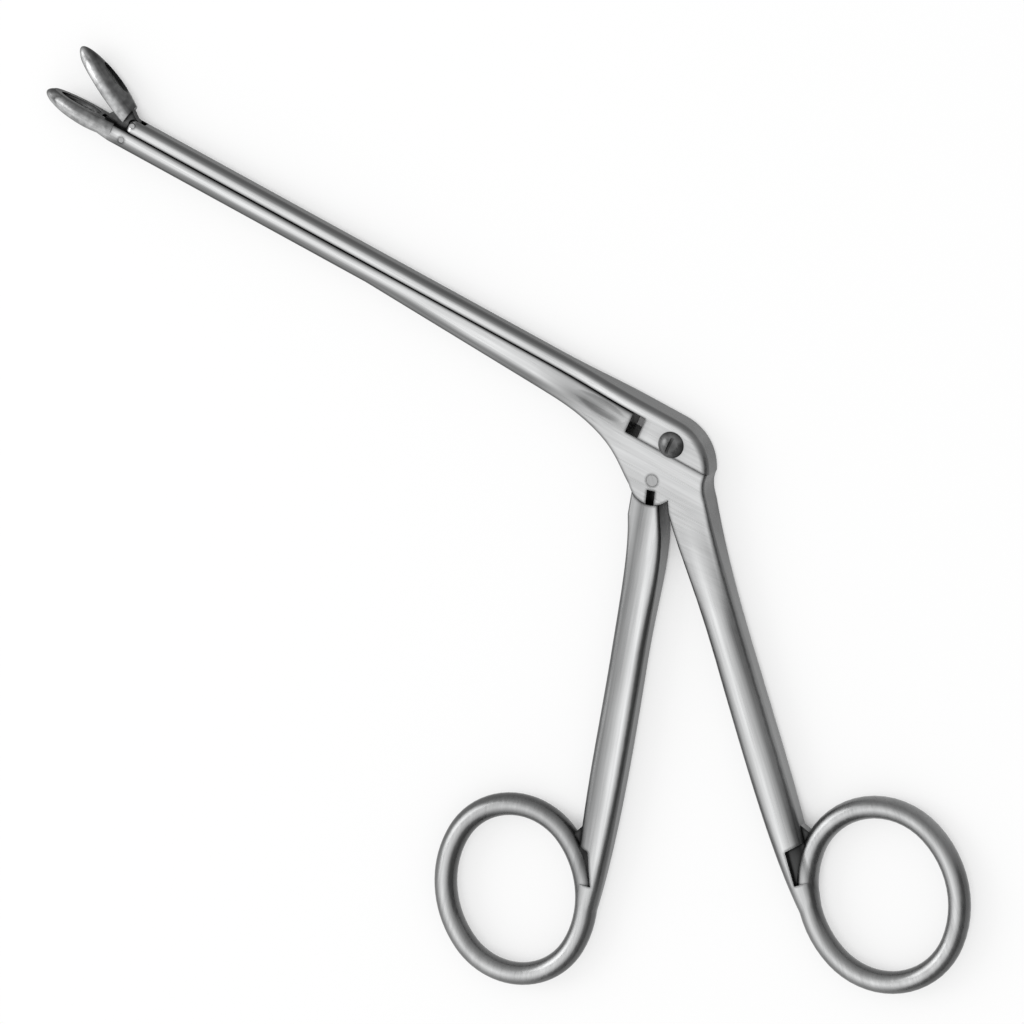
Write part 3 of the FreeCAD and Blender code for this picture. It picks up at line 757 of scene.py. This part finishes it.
@dataclass(frozen=True)
class SoftLamp:
    """A square lamp that looks at the forceps. Lengths are in metres."""

    name: str
    direction: Triple
    distance: float
    size: float
    power: float

    def hang(self, target: Vector) -> None:
        """Make the lamp and turn it to the forceps.

        Args:
            target: The point that it looks at.
        """
        light = bpy.data.lights.new(self.name, "AREA")
        light.size = self.size
        light.energy = self.power
        lamp = bpy.data.objects.new(self.name, light)
        back = Vector(self.direction).normalized()
        lamp.location = target + back * self.distance
        lamp.rotation_euler = back.to_track_quat("Z", "Y").to_euler()
        lamp.visible_camera = False
        bpy.context.scene.collection.objects.link(lamp)
        LOG.info("%s is up", self.name)


def seen_directly(graph: Graph) -> bpy.types.NodeSocket:
    """Tell the rays that show a background from those that only light the forceps.

    Args:
        graph: The nodes of the floor's material or of the world.

    Returns:
        The socket that holds 1 for the camera, mirrored and glass rays.
    """
    ray = graph.add("LightPath")
    seen = graph.maths("MAXIMUM", ray.outputs["Is Camera Ray"], ray.outputs["Is Glossy Ray"])
    return graph.maths("MAXIMUM", seen, ray.outputs["Is Transmission Ray"])


@dataclass(frozen=True)
class DarkCard:
    """A grey card beside the forceps, which only polished steel mirrors.

    Lengths are in metres.
    """

    direction: Triple = (-0.948, 0.320, 0.0)
    distance: float = 0.45
    width: float = 1.2
    low: float = 0.02
    high: float = 0.50
    shade: float = 0.58

    def stand(self, target: Vector) -> None:
        """Make the card and stand it upright, square to the forceps.

        Args:
            target: The point that it stands beside.
        """
        away = Vector(self.direction).normalized()
        side = Vector((-away.y, away.x, 0.0)) * (self.width / 2.0)
        foot = Vector((target.x, target.y, 0.0)) + away * self.distance
        low, high = Vector((0.0, 0.0, self.low)), Vector((0.0, 0.0, self.high))
        mesh = bpy.data.meshes.new("dark_card")
        mesh.from_pydata(
            [foot - side + low, foot + side + low, foot + side + high, foot - side + high],
            [],
            [(0, 1, 2, 3)],
        )
        material, graph = new_material("card_grey")
        glow = graph.add("Emission")
        glow.inputs["Color"].default_value = grey(self.shade)
        graph.end(glow.outputs[0])
        mesh.materials.append(material)
        card = bpy.data.objects.new("dark_card", mesh)
        card.visible_camera = False
        card.visible_diffuse = False
        card.visible_shadow = False
        card.visible_transmission = False
        bpy.context.scene.collection.objects.link(card)
        card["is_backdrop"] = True
        LOG.info("the card stands %.2f m off", self.distance)


@dataclass
class Studio:
    """The floor, the lamp, the surroundings and the camera.

    Lengths are in metres, apart from the lens and its sensor, in millimetres.
    """

    floor_radius: float = 3.0
    floor_sides: int = 96
    floor_shade: float = 0.96
    floor_white: float = 0.70
    surround_light: float = 0.95
    # Reach, samples and span of the painted shade on the floor under holes and beside the
    # forceps.
    hole_depth: float = 0.012
    hole_samples: int = 8
    hole_open: Span = (0.05, 0.5)
    target: Triple = (0.01781, 0.01346, 0.01543)
    right: Triple = (-0.855770, -0.376864, -0.354444)
    up: Triple = (0.470475, -0.851870, -0.230154)
    lens: float = 1500.0
    sensor: float = 36.0
    view_width: float = 0.1741
    depth_trim: float = 0.9975
    clip: Span = (0.1, 30.0)
    key_lamp: SoftLamp = SoftLamp(
        "key_lamp", direction=(0.79, 0.17, 0.59), distance=1.2, size=0.7, power=3.9
    )
    card: DarkCard = DarkCard()

    def build(self) -> None:
        """Set up everything that isn't part of the forceps."""
        self.lay_floor()
        self.light_world()
        self.key_lamp.hang(Vector(self.target))
        self.card.stand(Vector(self.target))
        self.place_camera()

    def lay_floor(self) -> None:
        """Lay a round pale floor at the height that the forceps rest on."""
        turns = [2.0 * math.pi * k / self.floor_sides for k in range(self.floor_sides)]
        rim = [
            (self.floor_radius * math.cos(a), self.floor_radius * math.sin(a), 0.0) for a in turns
        ]
        mesh = bpy.data.meshes.new("floor")
        mesh.from_pydata(rim, [], [tuple(range(self.floor_sides))])
        floor = bpy.data.objects.new("floor", mesh)
        floor.location.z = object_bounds()[0].z
        bpy.context.scene.collection.objects.link(floor)
        material, graph = new_material("pale_floor")
        paint = graph.add("BsdfDiffuse")
        paint.inputs["Color"].default_value = grey(self.floor_shade)
        white = graph.add("Emission")
        white.inputs["Strength"].default_value = 1.0
        cover = graph.add("MixShader")
        # The white cover fades where the forceps hem the floor in, which paints shade into the
        # floor there, on top of its lit shadow.
        floor_occlusion = graph.add("AmbientOcclusion", samples=self.hole_samples)
        graph.feed(floor_occlusion.inputs["Distance"], self.hole_depth)
        white_share = graph.spread(floor_occlusion.outputs["AO"], *self.hole_open, 0.0, self.floor_white)
        graph.feed(cover.inputs[0], graph.maths("MULTIPLY", seen_directly(graph), white_share))
        graph.feed(cover.inputs[1], paint.outputs[0])
        graph.feed(cover.inputs[2], white.outputs[0])
        graph.end(cover.outputs[0])
        mesh.materials.append(material)
        floor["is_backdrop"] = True
        LOG.info("the floor lies at z = %.4f m", floor.location.z)

    def light_world(self) -> None:
        """Give soft light from all round, and a white background."""
        world = bpy.data.worlds.new("surround")
        bpy.context.scene.world = world
        world.use_nodes = True
        graph = Graph(world.node_tree)
        sky = graph.add("Background")
        graph.feed(sky.inputs["Color"], WHITE)
        strength = graph.blend(seen_directly(graph), self.surround_light, 1.0)
        graph.feed(sky.inputs["Strength"], strength)
        graph.end(sky.outputs[0], "OutputWorld")

    def place_camera(self) -> None:
        """Set the camera at the angle of the photograph, far off with a long lens."""
        data = bpy.data.cameras.new("camera")
        data.lens = self.lens
        data.sensor_width = self.sensor
        data.clip_start, data.clip_end = self.clip
        camera = bpy.data.objects.new("camera", data)
        right = Vector(self.right).normalized()
        up = Vector(self.up).normalized()
        back = right.cross(up)
        distance = self.view_width * self.lens / self.sensor * self.depth_trim
        turn = Matrix((right, up, back)).transposed()
        place = Vector(self.target) + back * distance
        camera.matrix_world = Matrix.Translation(place) @ turn.to_4x4()
        bpy.context.scene.collection.objects.link(camera)
        bpy.context.scene.camera = camera
        LOG.info("the camera stands %.2f m off", distance)


def main() -> None:
    """Dress the forceps in order."""
    logging.basicConfig(level=logging.INFO, format="%(name)s: %(message)s")
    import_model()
    for side in (FixedSide(), SlideSide(), JawSide(), HandleSide()):
        side.dress()
    Studio().build()
    bpy.context.scene.view_settings.view_transform = "Standard"


if __name__ == "__main__":
    main()
